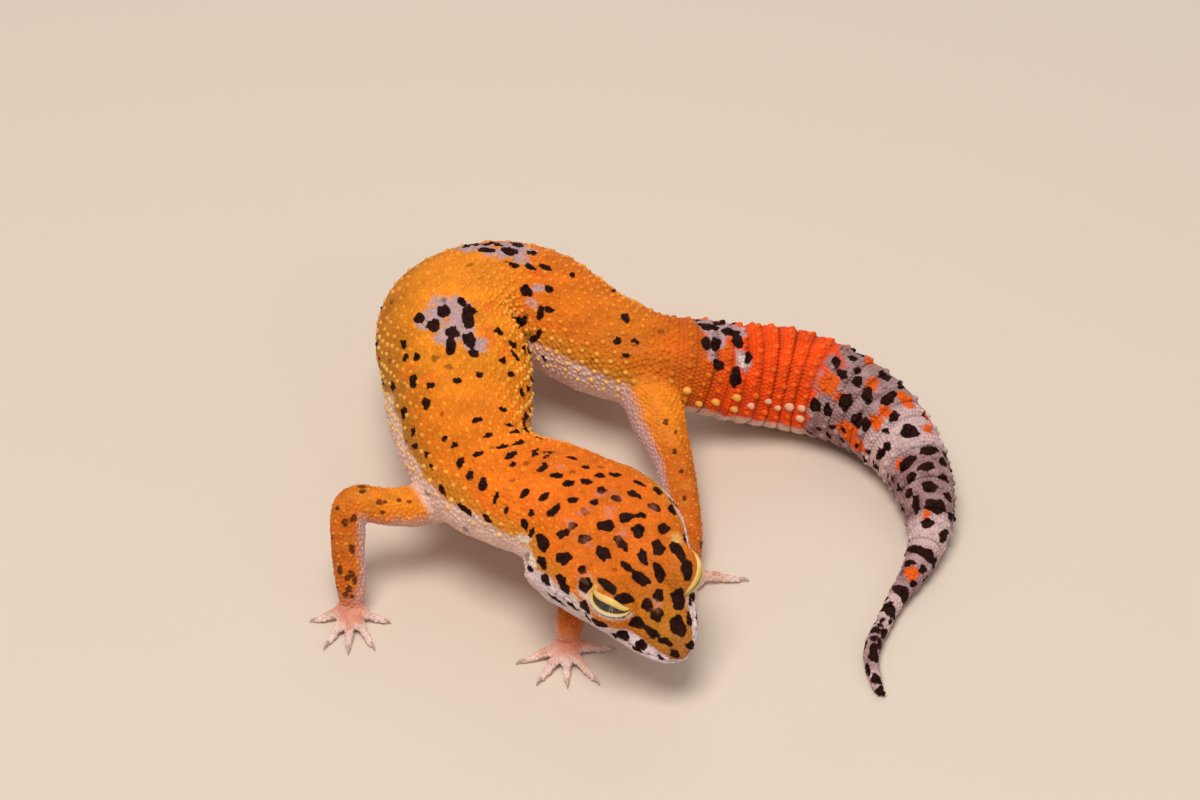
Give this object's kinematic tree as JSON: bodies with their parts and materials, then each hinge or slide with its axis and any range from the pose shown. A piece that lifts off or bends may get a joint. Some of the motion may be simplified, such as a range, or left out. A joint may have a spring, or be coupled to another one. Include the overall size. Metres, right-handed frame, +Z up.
{
  "type": "leopard gecko",
  "caption": "Life-size leopard gecko standing still, head low and turned back beside its bent trunk, ringed tail swept forward along the floor.",
  "frame": {"origin": "on the floor, under the middle of the animal's bounding box", "axes": "+Z up from the floor, -Y towards the snout's side, +X towards the side the tail is swept to"},
  "size_m": [0.0938, 0.0982, 0.0235],
  "materials": {
    "orange": "granular, satin",
    "head_orange": "fine-scaled, satin",
    "tail_orange": "ringed, satin",
    "tail_pale": "ringed, satin",
    "limb_orange": "fine-scaled, satin",
    "pink": "soft, satin",
    "eye": "wet gloss"
  },
  "bodies": {
    "root": {"head": "head_orange", "neck": "orange", "trunk_front": "orange", "trunk_middle": "orange", "trunk_rear": "orange", "tail_base": "tail_orange", "tail_middle": "tail_pale", "tail_end": "tail_pale", "tail_tip": "tail_pale", "eye_left": "eye", "eye_right": "eye", "upper_arm_right": "limb_orange", "forearm_right": "limb_orange", "hand_right": "pink", "upper_arm_left": "limb_orange", "forearm_left": "limb_orange", "hand_left": "pink", "thigh_left": "limb_orange", "shin_left": "limb_orange", "foot_left": "pink", "thigh_right": "limb_orange", "shin_right": "limb_orange", "foot_right": "pink"}
  },
  "joints": []
}
